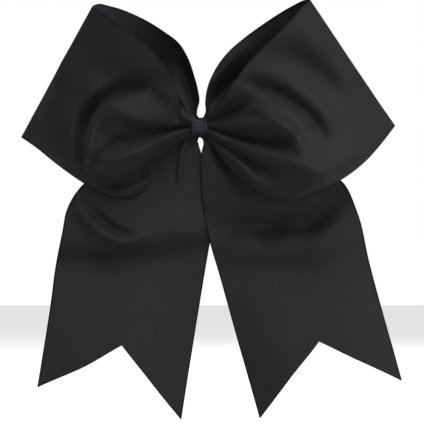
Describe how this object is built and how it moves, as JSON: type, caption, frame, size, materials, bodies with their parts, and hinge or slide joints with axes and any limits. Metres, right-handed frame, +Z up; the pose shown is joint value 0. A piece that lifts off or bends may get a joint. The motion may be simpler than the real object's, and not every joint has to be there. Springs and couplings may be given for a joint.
{
  "type": "cheer hair bow",
  "caption": "Black grosgrain hair bow with two open gathered loops and two swallow-tailed streamers on a sprung alligator clip.",
  "frame": {"origin": "middle of the gathered knot, inside the centre wrap", "axes": "+Z up as worn, +X to the right seen from the front, +Y backwards into the hair; the front of the bow faces -Y"},
  "size_m": [0.1932, 0.0453, 0.2112],
  "materials": {
    "ribbon": "black grosgrain, cross-ribbed, low sheen",
    "wrap": "narrow black ribbon, slightly bluer than the bow",
    "lining": "10 mm black grosgrain",
    "thread": "waxed polyester thread",
    "glue": "translucent hot-melt",
    "clip_steel": "nickel-plated stamped steel",
    "spring_steel": "bright spring wire"
  },
  "bodies": {
    "root": {"gathered_core": "ribbon", "binding_thread": "thread", "centre_wrap": "wrap", "glue_pad": "glue", "clip_lining": "lining", "clip_fixed_jaw": "clip_steel", "clip_hinge_pin": "clip_steel", "clip_spring": "spring_steel", "left_tail_upper": "ribbon", "right_tail_upper": "ribbon"},
    "left_loop_body": {"left_loop": "ribbon"},
    "right_loop_body": {"right_loop": "ribbon"},
    "left_tail_body": {"left_tail_end": "ribbon"},
    "right_tail_body": {"right_tail_end": "ribbon"},
    "jaw_body": {"clip_moving_jaw": "clip_steel"}
  },
  "joints": [
    {"name": "left_loop_flex", "type": "hinge", "parent": "root", "child": "left_loop_body", "pos_m": [-0.0072, 0, 0], "axis": [0, 0, 1], "range_deg": [0, 25], "stiffness_Nm_per_rad": 0.02},
    {"name": "right_loop_flex", "type": "hinge", "parent": "root", "child": "right_loop_body", "pos_m": [0.0072, 0, 0], "axis": [0, 0, -1], "range_deg": [0, 25], "stiffness_Nm_per_rad": 0.02},
    {"name": "left_tail_swing", "type": "hinge", "parent": "root", "child": "left_tail_body", "pos_m": [-0.03365, 0.012, -0.06275], "axis": [-0.9873, 0, 0.1586], "range_deg": [-35, 60], "stiffness_Nm_per_rad": 0.002},
    {"name": "right_tail_swing", "type": "hinge", "parent": "root", "child": "right_tail_body", "pos_m": [0.04355, 0.0104, -0.054], "axis": [-0.9653, 0, -0.261], "range_deg": [-35, 60], "stiffness_Nm_per_rad": 0.002},
    {"name": "clip_jaw_open", "type": "hinge", "parent": "root", "child": "jaw_body", "pos_m": [-0.011, 0.009, 0], "axis": [0, 0, 1], "range_deg": [0, 26], "stiffness_Nm_per_rad": 0.15, "deforming": ["clip_spring"]}
  ]
}
